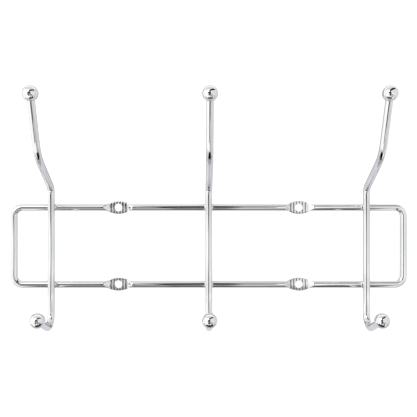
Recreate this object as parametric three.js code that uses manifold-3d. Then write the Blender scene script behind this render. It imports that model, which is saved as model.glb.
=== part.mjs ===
// Wall hook rack in chrome-plated steel wire, in millimetres, +Z up.
// The wall is the plane y = 0 and the rack stands out of it towards -Y. The origin is on the wall,
// in the middle of the four screw holes. A frame of round wire lies on the wall, and three double
// hooks cross in front of its two rails, with a ball pressed on each wire end.
import * as THREE from "three";
import { mergeVertices } from "three/addons/utils/BufferGeometryUtils.js";
import Module from "manifold-3d";

// Frame wire.
const FRAME_WIDTH = 350; // outside to outside
const RAIL_SPACING = 68; // upper rail's axis to lower rail's axis
const FRAME_WIRE = 6; // diameter
const CORNER_RADIUS = 7.8; // of the wire's axis

// Screw tabs: the rail wire pressed flat against the wall side, with ridges across the front.
const SCREW_SPACING = 160; // hole to hole along a rail
const SCREW_HOLE = 6.8; // diameter
const TAB_THICKNESS = 2.4;
const TAB_HEIGHT = 11.5; // at the hole
const TAB_END_HEIGHT = 8.4; // where the flat ends
const TAB_FLAT = 15.6; // length of the flat
const TAB_SHOULDER = 4.8; // length of the slope from the flat up to the round wire
const TAB_EDGE = 2.5; // how much sharper than round the pressed edge is
const RIDGES = 6;
const RIDGE_DEPTH = 0.15;

// Hook wire, seen from the side.
const HOOK_WIRE = 6; // diameter
const END_OVERHANG = 37.4; // frame's outside to the end hook's axis
const NECK_RISE = 16.5; // upper rail's axis to the corner of the neck bend
const ARM_REACH = 43.7; // neck corner to elbow corner, outwards
const ARM_RISE = 24.5; // neck corner to elbow corner, upwards
const TIP_REACH = 19.7; // elbow corner to the upper ball's centre, outwards
const TIP_RISE = 46.1; // elbow corner to the upper ball's centre, upwards
const FOOT_DROP = 39.5; // lower rail's axis to the corner of the foot bend
const FOOT_REACH = 43.7; // foot corner to the lower ball's centre, outwards
const FOOT_RISE = 16.8; // foot corner to the lower ball's centre, upwards
const NECK_RADIUS = 8; // bend radii of the wire's axis
const ELBOW_RADIUS = 34;
const FOOT_RADIUS = 11;

// Balls, each with a blind bore over the wire's end.
const BALL = 12.3; // diameter
const BORE_DEPTH = 6; // from the bore's mouth
const BORE_CLEARANCE = 0.15; // between the wire and the bore's wall
const BORE_END_GAP = 0.3; // between the wire's end and the bore's bottom

// Welds.
const WELD_GAP = 0.3; // rail wire to hook wire, where they cross
const CROSS_WELD_RADIUS = 4; // seen from the front
const CROSS_WELD_THICKNESS = 3;
const BUTT_WELD_LENGTH = 1;
const WELD_CLEARANCE = 0.08; // weld metal to wire

// Facets.
const WIRE_SIDES = 16;
const BEND_STEP = THREE.MathUtils.degToRad(12);
const BALL_SIDES = 20;
const HOLE_SIDES = 24;
const SHOULDER_STEPS = 4;

// Making.
const CUT_LENGTH = 24; // of the shapes that cut a hole or a hollow
const MERGE_DISTANCE = 1e-4;

// Places that follow from the sizes above.
const frameRadius = FRAME_WIRE / 2;
const hookRadius = HOOK_WIRE / 2;
const railZ = RAIL_SPACING / 2;
const sideX = FRAME_WIDTH / 2 - frameRadius;
const hookX = FRAME_WIDTH / 2 - END_OVERHANG;
const hookY = -(FRAME_WIRE + WELD_GAP + hookRadius);
const joinX = BUTT_WELD_LENGTH / 2 + WELD_CLEARANCE;

const wasm = await Module();
wasm.setup();

const chrome = { color: 0xd9dadc, roughness: 0.08, metalness: 1 };
const weldMetal = { color: 0xb9babd, roughness: 0.25, metalness: 1 };

const rack = new THREE.Group();

function addMesh(name, geometry, finish) {
  const mesh = new THREE.Mesh(geometry, new THREE.MeshStandardMaterial(finish));
  mesh.name = name;
  rack.add(mesh);
  return mesh;
}

// A geometry's skin alone, with each shared corner stored once.
function closedSkin(geometry) {
  geometry.deleteAttribute("normal");
  geometry.deleteAttribute("uv");
  return mergeVertices(geometry, MERGE_DISTANCE);
}

function toManifold(skin) {
  return new wasm.Manifold(
    new wasm.Mesh({
      numProp: 3,
      vertProperties: new Float32Array(skin.getAttribute("position").array),
      triVerts: new Uint32Array(skin.index.array),
    }),
  );
}

function toGeometry(manifold) {
  const mesh = manifold.getMesh();
  const geometry = new THREE.BufferGeometry();
  geometry.setAttribute("position", new THREE.BufferAttribute(mesh.vertProperties, 3));
  geometry.setIndex(new THREE.BufferAttribute(mesh.triVerts, 1));
  return geometry;
}

// The stations of a bend that rounds one corner of a path in its own plane. Each is a point on the
// wire's axis and the wire's direction there.
function bendStations(before, corner, after, radius) {
  const into = corner.clone().sub(before).normalize();
  const out = after.clone().sub(corner).normalize();
  const turn = Math.atan2(into.cross(out), into.dot(out));
  const inward = new THREE.Vector2(-into.y, into.x).multiplyScalar(Math.sign(turn));
  const start = corner.clone().addScaledVector(into, -radius * Math.tan(Math.abs(turn) / 2));
  const centre = start.clone().addScaledVector(inward, radius);
  const steps = Math.ceil(Math.abs(turn) / BEND_STEP);
  return Array.from({ length: steps + 1 }, (_, i) => {
    const angle = (turn * i) / steps;
    return {
      at: start.clone().rotateAround(centre, angle),
      along: into.clone().rotateAround(new THREE.Vector2(), angle),
    };
  });
}

// A wire is a cylinder whose rings are moved one by one onto the stations of its axis. The section
// gives a ring's point from its place on the unit circle, across the plane of the path and in it.
function wireGeometry(stations, place, section) {
  const tube = new THREE.CylinderGeometry(1, 1, 1, WIRE_SIDES, stations.length - 1);
  const skin = closedSkin(tube);
  const position = skin.getAttribute("position");
  for (let i = 0; i < position.count; i += 1) {
    const share = position.getY(i) + 0.5;
    const station = stations[Math.round(share * (stations.length - 1))];
    const [across, within] = section(station, position.getX(i), position.getZ(i));
    position.setXYZ(i, ...place(station, across, within).toArray());
  }
  return skin;
}

function roundSection(radius) {
  return (station, across, within) => [across * radius, within * radius];
}

// The frame's path lies in the plane of the wall, as x and z. Across it is out of the wall.
function onFrame(station, across, within) {
  return new THREE.Vector3(
    station.at.x - station.along.y * within,
    -frameRadius - across,
    station.at.y + station.along.x * within,
  );
}

// How far the wire is pressed flat at a distance from the hole: 1 on the flat, falling evenly over
// the shoulder to 0, where the wire is round.
function pressedShare(distance) {
  return 1 - THREE.MathUtils.clamp((distance - TAB_FLAT / 2) / TAB_SHOULDER, 0, 1);
}

// The section of the frame wire: its back stays on the wall while the front is pressed down to the
// tab, whose outline swells in an arc towards the hole.
function frameSection(station, across, within) {
  const pressed = station.pressed ?? 0;
  const fromHole = station.fromHole ?? 0;
  const swell = (TAB_HEIGHT - TAB_END_HEIGHT) / 2;
  const outline = TAB_HEIGHT / 2 - swell * (fromHole / (TAB_FLAT / 2)) ** 2;
  const halfHeight = THREE.MathUtils.lerp(frameRadius, Math.max(outline, frameRadius), pressed);
  const depth = THREE.MathUtils.lerp(FRAME_WIRE, TAB_THICKNESS, pressed);
  const edge = THREE.MathUtils.lerp(1, TAB_EDGE, pressed);
  const level = THREE.MathUtils.clamp(across * edge, -1, 1);
  const groove = level === 1 ? (station.groove ?? 0) : 0;
  return [(depth * (1 + level)) / 2 - frameRadius - groove, within * halfHeight];
}

// The stations of one screw tab, in the order that the wire runs through it.
function tabStations(holeX, z, heading) {
  const ridgePitch = TAB_FLAT / RIDGES;
  const offsets = [];
  for (let i = SHOULDER_STEPS; i > 0; i -= 1) {
    offsets.push({ x: -TAB_FLAT / 2 - (TAB_SHOULDER * i) / SHOULDER_STEPS, groove: 0 });
  }
  for (let i = 0; i <= 2 * RIDGES; i += 1) {
    offsets.push({ x: -TAB_FLAT / 2 + (ridgePitch * i) / 2, groove: i % 2 ? 0 : RIDGE_DEPTH });
  }
  for (let i = 1; i <= SHOULDER_STEPS; i += 1) {
    offsets.push({ x: TAB_FLAT / 2 + (TAB_SHOULDER * i) / SHOULDER_STEPS, groove: 0 });
  }
  return offsets.map(({ x, groove }) => ({
    at: new THREE.Vector2(holeX + heading * x, z),
    along: new THREE.Vector2(heading, 0),
    pressed: pressedShare(Math.abs(x)),
    fromHole: Math.abs(x),
    groove,
  }));
}

function screwHole(x, z) {
  const radius = SCREW_HOLE / 2;
  const drill = new THREE.CylinderGeometry(radius, radius, CUT_LENGTH, HOLE_SIDES);
  drill.translate(x, 0, z);
  return toManifold(closedSkin(drill));
}

// Half of the frame, from the upper rail's middle round to the lower rail's middle.
// The side is -1 for the left half and 1 for the right half.
function frameHalf(name, side) {
  const holeX = (side * SCREW_SPACING) / 2;
  const corners = [
    new THREE.Vector2(side * joinX, railZ),
    new THREE.Vector2(side * sideX, railZ),
    new THREE.Vector2(side * sideX, -railZ),
    new THREE.Vector2(side * joinX, -railZ),
  ];
  const stations = [
    { at: corners[0], along: new THREE.Vector2(side, 0) },
    ...tabStations(holeX, railZ, side),
    ...bendStations(corners[0], corners[1], corners[2], CORNER_RADIUS),
    ...bendStations(corners[1], corners[2], corners[3], CORNER_RADIUS),
    ...tabStations(holeX, -railZ, -side),
    { at: corners[3], along: new THREE.Vector2(-side, 0) },
  ];
  const wire = toManifold(wireGeometry(stations, onFrame, frameSection));
  const drilled = wire.subtract(screwHole(holeX, railZ)).subtract(screwHole(holeX, -railZ));
  addMesh(name, toGeometry(drilled), chrome);
}

// A straight stretch of rail wire or hook wire, used to shape the welds.
function railPiece(x, z, length, radius) {
  const rod = new THREE.CylinderGeometry(radius, radius, length, WIRE_SIDES);
  rod.rotateZ(Math.PI / 2);
  rod.translate(x, -frameRadius, z);
  return closedSkin(rod);
}

function hookPiece(x, z, length, radius) {
  const rod = new THREE.CylinderGeometry(radius, radius, length, WIRE_SIDES);
  rod.rotateX(Math.PI / 2);
  rod.translate(x, hookY, z);
  return closedSkin(rod);
}

function buttWeld(name, z) {
  addMesh(name, railPiece(0, z, BUTT_WELD_LENGTH, frameRadius), weldMetal);
}

// A flattened bead between rail and hook, hollowed by both wires.
function crossWeld(name, x, z) {
  const bead = new THREE.SphereGeometry(CROSS_WELD_RADIUS, WIRE_SIDES, WIRE_SIDES / 2);
  bead.scale(1, CROSS_WELD_THICKNESS / (2 * CROSS_WELD_RADIUS), 1);
  bead.translate(x, -(FRAME_WIRE + WELD_GAP / 2), z);
  const rail = toManifold(railPiece(x, z, CUT_LENGTH, frameRadius + WELD_CLEARANCE));
  const hook = toManifold(hookPiece(x, z, CUT_LENGTH, hookRadius + WELD_CLEARANCE));
  const solid = toManifold(closedSkin(bead));
  addMesh(name, toGeometry(solid.subtract(rail).subtract(hook)), weldMetal);
}

// The corners of the hook wire's axis from upper ball to lower ball, as distance out from the
// upright and height.
function hookCorners() {
  const neck = new THREE.Vector2(0, railZ + NECK_RISE);
  const elbow = new THREE.Vector2(ARM_REACH, neck.y + ARM_RISE);
  const upperBall = new THREE.Vector2(elbow.x + TIP_REACH, elbow.y + TIP_RISE);
  const foot = new THREE.Vector2(0, -railZ - FOOT_DROP);
  const lowerBall = new THREE.Vector2(FOOT_REACH, foot.y + FOOT_RISE);
  return { upperBall, elbow, neck, foot, lowerBall };
}

// The bore's bottom, measured from the ball's centre towards the wire.
function boreBottom() {
  const boreRadius = hookRadius + BORE_CLEARANCE;
  return Math.sqrt((BALL / 2) ** 2 - boreRadius ** 2) - BORE_DEPTH;
}

function hookWire(name, x) {
  const { upperBall, elbow, neck, foot, lowerBall } = hookCorners();
  const inBore = boreBottom() + BORE_END_GAP;
  const down = elbow.clone().sub(upperBall).normalize();
  const outwards = lowerBall.clone().sub(foot).normalize();
  const upperEnd = upperBall.clone().addScaledVector(down, inBore);
  const lowerEnd = lowerBall.clone().addScaledVector(outwards, -inBore);
  const stations = [
    { at: upperEnd, along: down },
    ...bendStations(upperEnd, elbow, neck, ELBOW_RADIUS),
    ...bendStations(elbow, neck, foot, NECK_RADIUS),
    ...bendStations(neck, foot, lowerEnd, FOOT_RADIUS),
    { at: lowerEnd, along: outwards },
  ];
  const onHook = (station, across, within) =>
    new THREE.Vector3(
      x + across,
      hookY - station.at.x - station.along.y * within,
      station.at.y - station.along.x * within,
    );
  addMesh(name, wireGeometry(stations, onHook, roundSection(hookRadius)), chrome);
}

// A ball round a blind bore. The profile runs from the bore's bottom out over the ball to its far
// side, and the bore's mouth points along +Y.
function ballGeometry() {
  const boreRadius = hookRadius + BORE_CLEARANCE;
  const mouth = Math.asin(boreRadius / (BALL / 2));
  const steps = BALL_SIDES / 2;
  const profile = [new THREE.Vector2(0, -BALL / 2)];
  for (let i = 1; i <= steps; i += 1) {
    const angle = Math.PI - ((Math.PI - mouth) * i) / steps;
    profile.push(new THREE.Vector2(Math.sin(angle), Math.cos(angle)).multiplyScalar(BALL / 2));
  }
  profile.push(new THREE.Vector2(boreRadius, boreBottom()), new THREE.Vector2(0, boreBottom()));
  return closedSkin(new THREE.LatheGeometry(profile, BALL_SIDES));
}

function addBall(name, x, centre, towardsWire) {
  const ball = addMesh(name, ballGeometry(), chrome);
  const mouth = new THREE.Vector3(0, -towardsWire.x, towardsWire.y).normalize();
  ball.quaternion.setFromUnitVectors(new THREE.Vector3(0, 1, 0), mouth);
  ball.position.set(x, hookY - centre.x, centre.y);
}

frameHalf("frame_left", -1);
frameHalf("frame_right", 1);
buttWeld("butt_weld_top", railZ);
buttWeld("butt_weld_bottom", -railZ);

const places = { left: -hookX, centre: 0, right: hookX };
for (const [place, x] of Object.entries(places)) {
  const { upperBall, elbow, foot, lowerBall } = hookCorners();
  hookWire(`hook_${place}`, x);
  addBall(`ball_upper_${place}`, x, upperBall, elbow.clone().sub(upperBall));
  addBall(`ball_lower_${place}`, x, lowerBall, foot.clone().sub(lowerBall));
  crossWeld(`cross_weld_${place}_top`, x, railZ);
  crossWeld(`cross_weld_${place}_bottom`, x, -railZ);
}

export default rack;
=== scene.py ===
import math

import bmesh
import bpy
from mathutils import Matrix, Vector, noise


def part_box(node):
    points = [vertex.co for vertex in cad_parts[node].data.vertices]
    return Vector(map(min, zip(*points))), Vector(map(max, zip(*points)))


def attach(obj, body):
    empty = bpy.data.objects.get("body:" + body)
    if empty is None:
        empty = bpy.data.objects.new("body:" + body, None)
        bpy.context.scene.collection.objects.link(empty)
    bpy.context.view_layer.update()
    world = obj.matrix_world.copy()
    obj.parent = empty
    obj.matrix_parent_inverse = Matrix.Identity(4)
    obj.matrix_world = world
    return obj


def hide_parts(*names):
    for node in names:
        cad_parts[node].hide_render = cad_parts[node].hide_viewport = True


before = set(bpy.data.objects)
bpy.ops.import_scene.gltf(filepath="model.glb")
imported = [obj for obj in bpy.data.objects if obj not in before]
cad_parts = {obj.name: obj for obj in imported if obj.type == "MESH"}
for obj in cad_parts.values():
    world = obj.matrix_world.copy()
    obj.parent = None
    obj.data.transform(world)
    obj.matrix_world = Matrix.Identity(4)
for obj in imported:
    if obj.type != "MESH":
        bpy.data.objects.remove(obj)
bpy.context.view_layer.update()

# Every length is in metres. The wall is the plane y = 0, and the rack stands out towards -Y.

# How finely the round pieces are cut.
HOOK_SIDES = 64
FRAME_SIDES = 96  # more than the hooks, for the ridges of the pressed tabs
BALL_SIDES = 96
HOLE_SIDES = 96
BEND_STEP = math.radians(3)
GUARD = 0.0006  # a ring this far from each end of a straight keeps its reflections straight
MERGE = 1e-7
SHARP = math.radians(38)

# Frame.
CORNER_RADIUS = 0.0078
SCREW_SPACING = 0.160
SCREW_HOLE = 0.0068
HOLE_LIP = 0.00022
TAB_THICKNESS = 0.0024
TAB_HEIGHT = 0.0115
TAB_END_HEIGHT = 0.0084
TAB_FLAT = 0.0156
TAB_SHOULDER = 0.0048
TAB_EDGE = 2.5  # how square the flattened section is
TAB_EDGE_ROUNDING = 5  # how suddenly the flattened section turns over its edge
TAB_CROWN = 0.00025
TAB_STEP = 0.0002
SHOULDER_EASE = 0.45  # how far the shoulder leaves a straight taper
RIDGES = 6
RIDGE_DEPTH = 0.00015
RIDGE_FLATNESS = 4  # how narrow the grooves between the ridges are
RIDGE_OVERRUN = 0.0006  # past the flat, on to the shoulder
RIDGE_RUN_OUT = 0.0008  # the length over which they fade away
RIDGE_EDGE = 0.6  # where the ridges begin, from 0 at the section's middle to 1 at its front
LIP_STEP = 15  # degrees of a rounded lip from one point of its outline to the next

# Hooks, seen from the side.
NECK_RISE = 0.0165
ARM_REACH = 0.0437
ARM_RISE = 0.0245
TIP_REACH = 0.0197
TIP_RISE = 0.0461
FOOT_DROP = 0.0395
FOOT_REACH = 0.0437
FOOT_RISE = 0.0168
NECK_RADIUS = 0.008
ELBOW_RADIUS = 0.034
FOOT_RADIUS = 0.011

# Balls.
BALL = 0.0123
BORE_DEPTH = 0.006
BORE_CLEARANCE = 0.00004
BORE_END_GAP = 0.0003
BALL_COLLAR = 0.0006
COLLAR_STEPS = 8
COLLAR_SPREAD = 0.9  # the share of the collar's length that its slope takes
COLLAR_LIP = 0.00003  # how thick the collar ends
COLLAR_TUCK = 0.00005  # how far its inner edge lies below its outer edge

# Welds.
BEAD_LUMPS = 0.00012
COARSE_LUMPS, FINE_LUMPS = 900, 2000  # lumps per metre
DRESSED_RISE = 0.0001  # how far a rail's closing weld swells, up to the wire's own radius
DRESSED_STEPS = 12

# What the plating shows in front, measured from the middle of a weld or a screw hole.
WELD_HAZE, CLEAR_OF_WELD = 0.003, 0.011
PRESS_MARK, CLEAR_OF_PRESS = TAB_FLAT / 2, TAB_FLAT / 2 + 0.0012

# Metal colours.
COOL_CHROME, WARM_CHROME = (0.80, 0.815, 0.835), (0.865, 0.862, 0.855)
HEATED_CHROME, PRESSED_CHROME = (0.70, 0.685, 0.655), (0.66, 0.665, 0.675)
COOL_BALL, WARM_BALL = (0.81, 0.82, 0.84), (0.87, 0.865, 0.86)
GREY_WELD, STRAW_WELD = (0.66, 0.66, 0.67), (0.78, 0.76, 0.72)

# Studio.
FAR = 4  # from the rack to the far cards
CARD_FADE = 0.16  # how much of a card's width is fade, on each side
TENT_GLOW = 1.16  # of the white all round
FLOOR_Z = -0.45
FLOOR_SIZE = 8
FLOOR_COLOUR = (0.95, 0.95, 0.95)
LAMP_SIZE = 0.9
LAMP_POWER = 6
LAMP_PLACE = (-0.9, -0.8, 0.8)
EYE = (-0.0085, -0.518, 0.0331)
LENS, SENSOR, LENS_SHIFT = 50.3, 36, 0.0225


def box_middle(node):
    low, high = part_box(node)
    return (low + high) / 2


def box_size(node):
    low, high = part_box(node)
    return high - low


# Places that follow from the CAD pieces.
FRAME_RADIUS = box_size("butt_weld_top").z / 2
RAIL_Z = box_middle("butt_weld_top").z
SIDE_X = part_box("frame_right")[1].x - FRAME_RADIUS
JOIN_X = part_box("frame_right")[0].x
HOOK_RADIUS = box_size("hook_centre").x / 2
HOOK_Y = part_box("hook_centre")[1].y - HOOK_RADIUS
HOOK_X = {place: box_middle(f"hook_{place}").x for place in ("left", "centre", "right")}


# ---------------------------------------------------------------------------------- finishes


class Level:
    """A value that varies over a surface. Arithmetic on it adds Math nodes."""

    def __init__(self, finish, socket):
        self.finish = finish
        self.socket = socket

    def maths(self, operation, *values):
        return self.finish.add("Math", {"operation": operation}, dict(enumerate(values)))

    def __add__(self, other):
        return self.maths("ADD", self, other)

    def __radd__(self, other):
        return self.maths("ADD", other, self)

    def __sub__(self, other):
        return self.maths("SUBTRACT", self, other)

    def __rsub__(self, other):
        return self.maths("SUBTRACT", other, self)

    def __mul__(self, other):
        return self.maths("MULTIPLY", self, other)

    def __rmul__(self, other):
        return self.maths("MULTIPLY", other, self)

    def __abs__(self):
        return self.maths("ABSOLUTE", self)

    def rise(self, start, end):
        """0 below start, 1 above end, and a smooth slope between them."""
        settings = {"interpolation_type": "SMOOTHSTEP"}
        values = {"Value": self, "From Min": start, "From Max": end}
        return self.finish.add("MapRange", settings, values)


class Finish:
    """A finish made of nodes, of a metal, the floor or a card."""

    def __init__(self, name, **constants):
        self.material = bpy.data.materials.new(name)
        self.material.use_nodes = True
        self.nodes = self.material.node_tree.nodes
        self.links = self.material.node_tree.links
        self.shader = self.nodes["Principled BSDF"]
        for socket, value in constants.items():
            self.shader.inputs[socket.replace("_", " ")].default_value = value

    def add(self, kind, settings=None, values=None, output=0):
        """Adds a node: its settings come first, then the values or links of its sockets."""
        node = self.nodes.new(f"ShaderNode{kind}")
        for setting, value in (settings or {}).items():
            setattr(node, setting, value)
        for socket, value in (values or {}).items():
            self.put(node.inputs[socket], value)
        return Level(self, node.outputs[output])

    def put(self, socket, value):
        if isinstance(value, Level):
            self.links.new(value.socket, socket)
        else:
            socket.default_value = value

    def feed(self, name, value):
        self.put(self.shader.inputs[name], value)

    def place(self):
        return self.add("TexCoord", output="Object")

    def parts(self, vector):
        """The X, Y and Z of a vector, each as a level."""
        node = self.add("SeparateXYZ", None, {"Vector": vector}).socket.node
        return {output.name: Level(self, output) for output in node.outputs}

    def along_wire(self):
        """The wire's own grain: across it as x and y, and along it as z."""
        return self.add("Attribute", {"attribute_name": "grain"}, output="Vector")

    def stretched(self, vector, scale):
        return self.add("Mapping", None, {"Vector": vector, "Scale": scale})

    def cloud(self, vector, scale, detail=3.0, roughness=0.5):
        values = {"Vector": vector, "Scale": scale, "Detail": detail, "Roughness": roughness}
        return self.add("TexNoise", {"noise_dimensions": "3D"}, values)

    def blend(self, share, first, second):
        """From the first colour to the second as the share goes from 0 to 1."""
        ends = [end if isinstance(end, Level) else (*end, 1) for end in (first, second)]
        values = {0: share, 6: ends[0], 7: ends[1]}
        return self.add("Mix", {"data_type": "RGBA"}, values, output=2)

    def bump(self, height, distance, strength, under=None):
        values = {"Height": height, "Distance": distance, "Strength": strength}
        if under is not None:
            values["Normal"] = under
        return self.add("Bump", None, values)


def near(place, x, z, full, none):
    """1 near one place of the front view and its mirror images, falling away to 0."""
    across, up = abs(abs(place["X"]) - x), abs(abs(place["Z"]) - z)
    return 1 - across.maths("MAXIMUM", across, up).rise(full, none)


def chrome_wire():
    """Bright chrome on drawn wire: faint die lines along it, a haze beside the welds, and duller
    metal where the press has marked it."""
    finish = Finish("chrome_on_drawn_wire", Metallic=1.0, Specular_IOR_Level=0.5)
    place, grain = finish.place(), finish.along_wire()
    parts = finish.parts(place)
    outer, inner = (
        near(parts, x, RAIL_Z, WELD_HAZE, CLEAR_OF_WELD) for x in (HOOK_X["right"], 0)
    )
    haze = outer + inner
    pressed = near(parts, SCREW_SPACING / 2, RAIL_Z, PRESS_MARK, CLEAR_OF_PRESS)
    patches = finish.cloud(place, 38, 4).rise(0.32, 0.68)
    smears = finish.cloud(place, 210, 5, 0.6).rise(0.45, 0.75)
    lines = finish.cloud(finish.stretched(grain, (1, 1, 0.015)), 5200, 2, 0.65)
    grit = finish.cloud(place, 2600, 4, 0.7)
    clean = finish.blend(patches, COOL_CHROME, WARM_CHROME)
    heated = finish.blend(haze * 0.5, clean, HEATED_CHROME)
    worked = finish.blend(pressed * grit.rise(0.35, 0.65), heated, PRESSED_CHROME)
    finish.feed("Base Color", worked)
    scratched = lines.rise(0.55, 0.8)
    rough = 0.035 + smears * 0.03 + scratched * 0.03 + haze * 0.09
    finish.feed("Roughness", rough + pressed * (0.06 + grit.rise(0.3, 0.7) * 0.12))
    ripple = finish.cloud(place, 320, 2)
    worn = finish.bump(lines, 0.00001, 0.07)
    rippled = finish.bump(ripple, 0.00004, 0.12, worn)
    finish.feed("Normal", finish.bump(grit * pressed, 0.00003, 0.35, rippled))
    return finish.material


def chrome_ball():
    """Bright chrome on turned balls: fine polishing rings and a few soft smears."""
    finish = Finish("chrome_on_turned_ball", Metallic=1.0, Specular_IOR_Level=0.5)
    place = finish.place()
    patches = finish.cloud(place, 120, 3).rise(0.3, 0.7)
    smears = finish.cloud(place, 420, 5, 0.6).rise(0.5, 0.8)
    rubbed = finish.cloud(finish.stretched(place, (1, 0.12, 0.12)), 4200, 2, 0.6)
    finish.feed("Base Color", finish.blend(patches, COOL_BALL, WARM_BALL))
    finish.feed("Roughness", 0.03 + smears * 0.03 + rubbed.rise(0.55, 0.8) * 0.02)
    ripple = finish.cloud(place, 380, 2)
    finish.feed("Normal", finish.bump(ripple, 0.00003, 0.1))
    return finish.material


def weld_metal():
    """Plated weld metal: duller than the wires, with small pits and a straw tint in places."""
    finish = Finish("plated_weld", Metallic=1.0, Specular_IOR_Level=0.5)
    place = finish.place()
    patches = finish.cloud(place, 600, 4).rise(0.3, 0.7)
    pits = finish.cloud(place, 2600, 3, 0.7)
    finish.feed("Base Color", finish.blend(patches, GREY_WELD, STRAW_WELD))
    finish.feed("Roughness", 0.14 + patches * 0.1 + pits.rise(0.5, 0.8) * 0.12)
    finish.feed("Normal", finish.bump(pits, 0.00008, 0.35))
    return finish.material


# ------------------------------------------------------------------------------------ making


def new_object(name, bm, material):
    bmesh.ops.remove_doubles(bm, verts=bm.verts, dist=MERGE)
    bmesh.ops.recalc_face_normals(bm, faces=bm.faces)
    for face in bm.faces:
        face.smooth = True
    for edge in bm.edges:
        edge.smooth = edge.calc_face_angle(0) < SHARP
    mesh = bpy.data.meshes.new(name)
    bm.to_mesh(mesh)
    bm.free()
    mesh.materials.append(material)
    made = bpy.data.objects.new(name, mesh)
    bpy.context.scene.collection.objects.link(made)
    return made


def add_piece(name, bm, material, node):
    """A finished piece of the rack, in place of the CAD node of the same kind."""
    piece = new_object(name, bm, material)
    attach(piece, "root")
    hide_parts(node)
    return piece


def only(kind, geometry):
    return [item for item in geometry if isinstance(item, kind)]


class BentWire:
    """A round wire that is fed straight and bent round corners, as a wire bender works."""

    def __init__(self, start, along, radius, sides):
        self.bm = bmesh.new()
        self.grain = self.bm.verts.layers.float_vector.new("grain")
        self.at, self.along = Vector(start), Vector(along).normalized()
        turn = self.along.to_track_quat("Z", "Y").to_matrix().to_4x4()
        place = Matrix.Translation(self.at) @ turn
        bmesh.ops.create_circle(self.bm, segments=sides, radius=radius, matrix=place)
        to_section = place.inverted()
        for vert in self.bm.verts:
            vert[self.grain] = to_section @ vert.co
        self.ring = self.bm.verts[:] + self.bm.edges[:]

    def take_ring(self, geometry, length):
        edges = [edge for edge in only(bmesh.types.BMEdge, geometry) if edge.is_boundary]
        verts = only(bmesh.types.BMVert, geometry)
        for vert in verts:
            vert[self.grain] = vert[self.grain] + Vector((0, 0, length))
        self.ring = verts + edges

    def push(self, length):
        edges = only(bmesh.types.BMEdge, self.ring)
        made = bmesh.ops.extrude_edge_only(self.bm, edges=edges)["geom"]
        step = self.along * length
        bmesh.ops.translate(self.bm, verts=only(bmesh.types.BMVert, made), vec=step)
        self.take_ring(made, length)
        self.at += step

    def feed(self, length):
        for stretch in (GUARD, length - 2 * GUARD, GUARD):
            self.push(stretch)

    def bend(self, towards, radius, angle):
        axis = self.along.cross(towards)
        centre = self.at + towards * radius
        steps = math.ceil(angle / BEND_STEP)
        turn = Matrix.Rotation(angle / steps, 3, axis)
        for _ in range(steps):
            made = bmesh.ops.spin(
                self.bm, geom=self.ring, cent=centre, axis=axis, angle=angle / steps, steps=1
            )
            self.take_ring(made["geom_last"], radius * angle / steps)
            self.at = centre + turn @ (self.at - centre)
            self.along = turn @ self.along

    def turn_corner(self, corner, after, radius):
        out = (after - corner).normalized()
        angle = self.along.angle(out)
        towards = (out - self.along * out.dot(self.along)).normalized()
        self.feed((corner - self.at).length - radius * math.tan(angle / 2))
        self.bend(towards, radius, angle)

    def close(self):
        bmesh.ops.holes_fill(self.bm, edges=self.bm.edges, sides=0)


def lathe(profile, sides):
    """A solid turned round the Z axis, from a bmesh that holds half of its outline."""
    bmesh.ops.spin(
        profile,
        geom=profile.verts[:] + profile.edges[:],
        cent=(0, 0, 0),
        axis=(0, 0, 1),
        angle=math.tau,
        steps=sides,
        use_merge=True,
    )


def draw_on(profile, point, stops):
    """Carries an outline on from its last point, through stops given as radius and height."""
    for radius, height in stops:
        made = bmesh.ops.extrude_vert_indiv(profile, verts=[point])["verts"]
        point = made[0]
        point.co = (radius, 0, height)


def smooth_share(value):
    value = min(max(value, 0.0), 1.0)
    return value * value * (3 - 2 * value)


# ------------------------------------------------------------------------------------- frame


def pressed_share(distance):
    """1 on the flat of a tab, falling over the shoulder to 0 where the wire is round."""
    fall = (distance - TAB_FLAT / 2) / TAB_SHOULDER
    even = 1 - min(max(fall, 0.0), 1.0)
    return even + (smooth_share(even) - even) * SHOULDER_EASE


def soft_limit(value):
    """Close to the value itself, but levelling off at -1 and 1."""
    return value / (1 + abs(value) ** TAB_EDGE_ROUNDING) ** (1 / TAB_EDGE_ROUNDING)


def press_vertex(vert, hole_x, rail_z):
    offset = vert.co.x - hole_x
    pressed = pressed_share(abs(offset))
    across = -vert.co.y / FRAME_RADIUS - 1
    within = (vert.co.z - rail_z) / FRAME_RADIUS
    swell = (TAB_HEIGHT - TAB_END_HEIGHT) / 2
    outline = TAB_HEIGHT / 2 - swell * (offset / (TAB_FLAT / 2)) ** 2
    half_height = FRAME_RADIUS + (max(outline, FRAME_RADIUS) - FRAME_RADIUS) * pressed
    depth = 2 * FRAME_RADIUS + (TAB_THICKNESS - 2 * FRAME_RADIUS) * pressed
    limit = soft_limit(TAB_EDGE)
    level = across + (soft_limit(across * TAB_EDGE) / limit - across) * pressed
    phase = math.tau * (offset + TAB_FLAT / 2) * RIDGES / TAB_FLAT
    on_flat = smooth_share((TAB_FLAT / 2 + RIDGE_OVERRUN - abs(offset)) / RIDGE_RUN_OUT)
    in_front = smooth_share((level - RIDGE_EDGE) / (1 - RIDGE_EDGE))
    groove = RIDGE_DEPTH * (0.5 + 0.5 * math.cos(phase)) ** RIDGE_FLATNESS * on_flat * in_front
    crown = TAB_CROWN * within * within * pressed * in_front
    vert.co.y = -(depth * (1 + level) / 2 - groove - crown)
    vert.co.z = rail_z + within * half_height


def press_tab(wire, hole_x, rail_z):
    """Feeds the wire through the press, which flattens it against the wall side."""
    before = set(wire.bm.verts)
    length = TAB_FLAT + 2 * TAB_SHOULDER
    steps = round(length / TAB_STEP)
    for _ in range(steps):
        wire.push(length / steps)
    for vert in wire.bm.verts:
        if vert not in before:
            press_vertex(vert, hole_x, rail_z)


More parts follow.
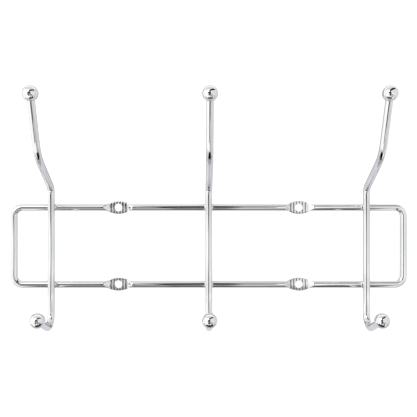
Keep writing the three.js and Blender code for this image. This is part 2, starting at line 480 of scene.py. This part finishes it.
def hole_cutter(x, z):
    """A spool that leaves the screw hole with rounded lips."""
    radius = SCREW_HOLE / 2
    profile = bmesh.new()
    back = profile.verts.new((0, 0, -HOLE_LIP))
    lip = [math.radians(angle) for angle in range(0, 91, LIP_STEP)]
    low = [
        (radius + HOLE_LIP * (1 - math.sin(a)), HOLE_LIP * (1 - math.cos(a))) for a in lip
    ]
    front = TAB_THICKNESS - RIDGE_DEPTH / 2
    high = [
        (radius + HOLE_LIP * (1 - math.cos(a)), front - HOLE_LIP * (1 - math.sin(a)))
        for a in lip
    ]
    wide = radius + HOLE_LIP
    ends = [(wide, TAB_THICKNESS * 2), (0, TAB_THICKNESS * 2)]
    draw_on(profile, back, [(wide, -HOLE_LIP), *low, *high, *ends])
    lathe(profile, HOLE_SIDES)
    to_wall = Matrix.Translation((x, 0, z)) @ Matrix.Rotation(math.radians(90), 4, "X")
    bmesh.ops.transform(profile, matrix=to_wall, verts=profile.verts)
    return new_object("hole_cutter", profile, None)


def drill(piece, x, z):
    cutter = hole_cutter(x, z)
    cut = piece.modifiers.new("screw_hole", "BOOLEAN")
    cut.operation, cut.solver, cut.object = "DIFFERENCE", "EXACT", cutter
    evaluated = piece.evaluated_get(bpy.context.evaluated_depsgraph_get())
    drilled = bpy.data.meshes.new_from_object(evaluated)
    solid = piece.data
    piece.modifiers.clear()
    piece.data = drilled
    bpy.data.meshes.remove(solid)
    bpy.data.objects.remove(cutter)
    drilled.name = piece.name
    drilled.set_sharp_from_angle(angle=SHARP)


def frame_half(place, side, material):
    """Half of the frame, from the upper rail's middle round to the lower rail's middle."""
    hole_x = side * SCREW_SPACING / 2
    depth = -FRAME_RADIUS
    top, bottom = (Vector((side * SIDE_X, depth, z)) for z in (RAIL_Z, -RAIL_Z))
    wire = BentWire((side * JOIN_X, depth, RAIL_Z), (side, 0, 0), FRAME_RADIUS, FRAME_SIDES)
    reach = TAB_FLAT / 2 + TAB_SHOULDER
    wire.feed(SCREW_SPACING / 2 - reach - JOIN_X)
    press_tab(wire, hole_x, RAIL_Z)
    wire.turn_corner(top, bottom, CORNER_RADIUS)
    wire.turn_corner(bottom, Vector((0, depth, -RAIL_Z)), CORNER_RADIUS)
    wire.feed(abs(wire.at.x) - SCREW_SPACING / 2 - reach)
    press_tab(wire, hole_x, -RAIL_Z)
    wire.feed(abs(wire.at.x) - JOIN_X)
    wire.close()
    piece = add_piece(f"wire_frame_{place}", wire.bm, material, f"frame_{place}")
    drill(piece, hole_x, RAIL_Z)
    drill(piece, hole_x, -RAIL_Z)


def butt_weld(place, z, material):
    """The rail's closing weld, dressed almost flush with the wire."""
    half = box_size(f"butt_weld_{place}").x / 2
    profile = bmesh.new()
    start = profile.verts.new((0, 0, -half))
    edge = FRAME_RADIUS - DRESSED_RISE
    outline = []
    for i in range(DRESSED_STEPS + 1):
        rise = DRESSED_RISE * math.sin(math.pi * i / DRESSED_STEPS)
        outline.append((edge + rise, -half + 2 * half * i / DRESSED_STEPS))
    draw_on(profile, start, [*outline, (0, half)])
    lathe(profile, FRAME_SIDES)
    lie = Matrix.Translation((0, -FRAME_RADIUS, z)) @ Matrix.Rotation(math.radians(90), 4, "Y")
    bmesh.ops.transform(profile, matrix=lie, verts=profile.verts)
    add_piece(f"rail_joint_{place}", profile, material, f"butt_weld_{place}")


# ------------------------------------------------------------------------------------- hooks


def hook_point(x, reach, height):
    return Vector((x, HOOK_Y - reach, height))


def hook_points(x):
    neck_z = RAIL_Z + NECK_RISE
    elbow_z = neck_z + ARM_RISE
    foot_z = -RAIL_Z - FOOT_DROP
    return {
        "upper_ball": hook_point(x, ARM_REACH + TIP_REACH, elbow_z + TIP_RISE),
        "elbow": hook_point(x, ARM_REACH, elbow_z),
        "neck": hook_point(x, 0, neck_z),
        "foot": hook_point(x, 0, foot_z),
        "lower_ball": hook_point(x, FOOT_REACH, foot_z + FOOT_RISE),
    }


def bore_bottom():
    """From the ball's centre towards the wire."""
    return math.sqrt((BALL / 2) ** 2 - HOOK_RADIUS**2) - BORE_DEPTH


def hook_wire(place, x, material):
    points = hook_points(x)
    in_bore = bore_bottom() + BORE_END_GAP
    down = (points["elbow"] - points["upper_ball"]).normalized()
    back = (points["foot"] - points["lower_ball"]).normalized()
    wire = BentWire(points["upper_ball"] + down * in_bore, down, HOOK_RADIUS, HOOK_SIDES)
    wire.turn_corner(points["elbow"], points["neck"], ELBOW_RADIUS)
    wire.turn_corner(points["neck"], points["foot"], NECK_RADIUS)
    wire.turn_corner(points["foot"], points["lower_ball"], FOOT_RADIUS)
    end = points["lower_ball"] + back * in_bore
    wire.feed((end - wire.at).length)
    wire.close()
    add_piece(f"bent_hook_{place}", wire.bm, material, f"hook_{place}")


def ball(name, centre, wire_from, material, node):
    """A ball with a blind bore, whose plating runs out on the wire in a small collar."""
    radius = BALL / 2
    bore = HOOK_RADIUS + BORE_CLEARANCE
    collar_angle = math.asin((bore + BALL_COLLAR) / radius)
    profile = bmesh.new()
    pole = profile.verts.new((0, 0, -radius))
    arc = math.pi - collar_angle
    made = bmesh.ops.spin(
        profile, geom=[pole], cent=(0, 0, 0), axis=(0, -1, 0), angle=arc, steps=BALL_SIDES // 2
    )
    last = only(bmesh.types.BMVert, made["geom_last"])[0]
    start_radius, start_height = last.co.x, last.co.z
    slope = math.tan(collar_angle)
    collar = []
    for i in range(1, COLLAR_STEPS + 1):
        share = i / COLLAR_STEPS
        fall = (start_radius - bore - COLLAR_LIP) * (1 - (1 - share) ** 2)
        along = BALL_COLLAR * COLLAR_SPREAD * (share * slope * (1 - share) + share * share)
        collar.append((start_radius - fall, start_height + along))
    inner = [(bore, collar[-1][1] - COLLAR_TUCK), (bore, bore_bottom()), (0, bore_bottom())]
    draw_on(profile, last, [*collar, *inner])
    lathe(profile, BALL_SIDES)
    aim = (wire_from - centre).to_track_quat("Z", "Y").to_matrix().to_4x4()
    bmesh.ops.transform(profile, matrix=Matrix.Translation(centre) @ aim, verts=profile.verts)
    add_piece(name, profile, material, node)


def cross_weld(place, height, material):
    """A squeezed bead where a hook crosses a rail, a little uneven round its rim."""
    node = f"cross_weld_{place}_{height}"
    size = box_size(node)
    bead = bmesh.new()
    bmesh.ops.create_icosphere(bead, subdivisions=5, radius=0.5)
    middle = box_middle(node)
    # Halfway from the rail's front to the hook's back.
    middle.y = -(2 * FRAME_RADIUS - HOOK_Y - HOOK_RADIUS) / 2
    bmesh.ops.scale(bead, vec=(size.x, size.y, size.z), verts=bead.verts)
    bmesh.ops.translate(bead, vec=middle, verts=bead.verts)
    for vert in bead.verts:
        lump = noise.noise(vert.co * COARSE_LUMPS) + 0.5 * noise.noise(vert.co * FINE_LUMPS)
        vert.co += (vert.co - middle).normalized() * (BEAD_LUMPS * (lump - 1))
    add_piece(f"weld_bead_{place}_{height}", bead, material, node)


# ----------------------------------------------------------------------------------- setting


def matt(name, colour):
    surface = Finish(name, Roughness=0.9)
    surface.feed("Base Color", (*colour, 1))
    return surface.material


def glowing(name, colour, length, width):
    """A card's surface: it only glows, and it fades out towards its edges."""
    surface = Finish(name, Specular_IOR_Level=0.0)
    surface.feed("Base Color", (0, 0, 0, 1))
    surface.feed("Emission Color", (*colour, 1))
    surface.feed("Emission Strength", 1.0)
    place = surface.parts(surface.add("TexCoord", output="UV"))
    from_end = (0.5 - abs(place["X"] - 0.5)) * length
    from_side = (0.5 - abs(place["Y"] - 0.5)) * width
    edge = from_end.maths("MINIMUM", from_end, from_side)
    surface.feed("Alpha", edge.rise(0, CARD_FADE * min(length, width)))
    return surface.material


def panel(name, start, end, width, material):
    """A flat panel of the studio from start to end, turned towards the rack."""
    start, end = Vector(start), Vector(end)
    middle, along = (start + end) / 2, (end - start).normalized()
    across = (-middle).cross(along).normalized()
    turn = Matrix((along, across, along.cross(across))).transposed().to_4x4()
    bm = bmesh.new()
    bm.loops.layers.uv.new("panel")
    bmesh.ops.create_grid(bm, x_segments=1, y_segments=1, size=0.5, calc_uvs=True)
    bmesh.ops.scale(bm, vec=((end - start).length, width, 1), verts=bm.verts)
    bmesh.ops.transform(bm, matrix=Matrix.Translation(middle) @ turn, verts=bm.verts)
    made = new_object(name, bm, material)
    return made


def card(name, start, end, width, level):
    """A card that shows only as a reflection in the metal. Its level is a grey or a colour."""
    tone = level if isinstance(level, tuple) else (level, level, level)
    length = (Vector(end) - Vector(start)).length
    made = panel(name, start, end, width, glowing(f"{name}_glow", tone, length, width))
    made.visible_camera = False
    made.visible_diffuse = False
    made.visible_shadow = False
    made.visible_transmission = False


def far_card(name, azimuths, elevations, level):
    """A far card, from one direction to another as seen from the rack. Azimuth 0 is -Y."""
    height = math.radians(sum(elevations) / 2)
    ends = []
    for azimuth in map(math.radians, azimuths):
        flat = Vector((math.sin(azimuth), -math.cos(azimuth), 0)) * math.cos(height)
        ends.append((flat + Vector((0, 0, math.sin(height)))) * FAR)
    width = FAR * math.radians(elevations[1] - elevations[0])
    card(name, *ends, width, level)


def studio():
    world = bpy.data.worlds.new("white_tent")
    world.use_nodes = True
    background = world.node_tree.nodes["Background"]
    background.inputs["Color"].default_value = (1, 1, 1, 1)
    background.inputs["Strength"].default_value = TENT_GLOW
    bpy.context.scene.world = world
    bpy.context.scene.view_settings.view_transform = "Standard"
    floor = matt("pale_floor", FLOOR_COLOUR)
    left, right = ((x, 0, FLOOR_Z) for x in (-FLOOR_SIZE / 2, FLOOR_SIZE / 2))
    panel("floor", left, right, FLOOR_SIZE, floor).visible_glossy = False
    # The tent's walls, less bright to the right, above and behind than to the left.
    card("tent_right", (0.2, -0.90, 0.3), (1.0, -0.1, 0.3), 1.1, 0.86)
    card("tent_far_right", (0.95, -0.4, 0.1), (0.95, 1.1, 0.1), 2.0, 0.80)
    card("tent_low_right", (0.2, -0.90, -0.42), (1.0, -0.1, -0.42), 0.6, 0.74)
    card("tent_back", (-1.5, 0.9, 0.2), (1.5, 0.9, 0.2), 2.6, 0.66)
    card("tent_top", (-1.1, -0.3, 0.8), (1.1, -0.3, 0.8), 0.8, 0.80)
    # The room behind, and the table that the rack stands over.
    card("back_left", (-0.80, 0.72, -0.5), (-0.80, 0.72, 0.8), 0.30, 0.10)
    card("back_middle", (0.10, 0.86, -0.5), (0.10, 0.86, 0.8), 0.22, 0.10)
    card("table_near", (-0.9, 0.02, -0.42), (0.9, 0.02, -0.42), 0.26, 0.42)
    card("table_far", (-0.9, 0.46, -0.42), (0.9, 0.46, -0.42), 0.7, (0.75, 0.74, 0.79))
    # The opening in the tent's front, which is dark, and the seam over it.
    card("opening_top", (-0.035, -0.75, 0.03), (-0.035, -0.75, 0.40), 0.26, 0.06)
    card("opening_waist", (-0.01, -0.75, -0.16), (-0.01, -0.75, 0.20), 0.21, 0.03)
    card("opening_foot", (-0.02, -0.75, -0.44), (-0.02, -0.75, -0.19), 0.20, 0.06)
    card("opening_ledge", (-0.46, -0.76, 0.16), (-0.02, -0.76, 0.16), 0.29, 0.03)
    card("opening_seam", (-0.14, -0.73, 0.43), (0.78, -0.05, 0.72), 0.31, 0.01)
    card("left_of_opening", (-0.184, -0.75, -0.20), (-0.184, -0.75, 0.09), 0.085, 0.03)
    card("right_of_opening", (0.135, -0.76, -0.46), (0.135, -0.76, -0.15), 0.17, 0.16)
    card("right_foot", (0.38, -0.76, -0.50), (0.38, -0.76, -0.20), 0.26, 0.04)
    card("right_of_waist", (0.115, -0.77, -0.16), (0.115, -0.77, 0.20), 0.11, 0.36)
    card("floor_gap", (-0.27, -0.145, -0.33), (0.27, -0.145, -0.33), 0.21, 0.005)
    # What is left and right of the opening: the table's edges and the room.
    card("table_front", (0.0, -0.74, -0.42), (0.0, -0.15, -0.42), 0.15, 0.34)
    far_card("far_left", (-28, -7), (-3, 17), 0.02)
    far_card("low_left", (-30, 0), (-40, -4), 0.13)
    card("table_right", (0.33, -0.68, -0.41), (0.22, -0.24, -0.41), 0.18, 0.16)
    far_card("high_right", (4, 26), (36, 70), 0.26)
    key = bpy.data.lights.new("softbox", "AREA")
    key.shape, key.size, key.size_y = "RECTANGLE", LAMP_SIZE, LAMP_SIZE
    key.energy = LAMP_POWER
    lamp = bpy.data.objects.new("softbox", key)
    lamp.location = LAMP_PLACE
    lamp.rotation_euler = (-lamp.location).to_track_quat("-Z", "Y").to_euler()
    bpy.context.scene.collection.objects.link(lamp)


def camera():
    lens = bpy.data.cameras.new("camera")
    lens.lens, lens.sensor_width, lens.shift_x = LENS, SENSOR, LENS_SHIFT
    eye = bpy.data.objects.new("camera", lens)
    eye.location = EYE
    eye.rotation_euler = (math.radians(90), 0, 0)
    bpy.context.scene.collection.objects.link(eye)
    bpy.context.scene.camera = eye


camera()
studio()

wire_chrome, ball_chrome, weld = chrome_wire(), chrome_ball(), weld_metal()
frame_half("left", -1, wire_chrome)
frame_half("right", 1, wire_chrome)
butt_weld("top", RAIL_Z, weld)
butt_weld("bottom", -RAIL_Z, weld)
for place, x in HOOK_X.items():
    points = hook_points(x)
    hook_wire(place, x, wire_chrome)
    for height, before in (("upper", "elbow"), ("lower", "foot")):
        centre = points[f"{height}_ball"]
        name = f"polished_ball_{height}_{place}"
        ball(name, centre, points[before], ball_chrome, f"ball_{height}_{place}")
    for height in ("top", "bottom"):
        cross_weld(place, height, weld)
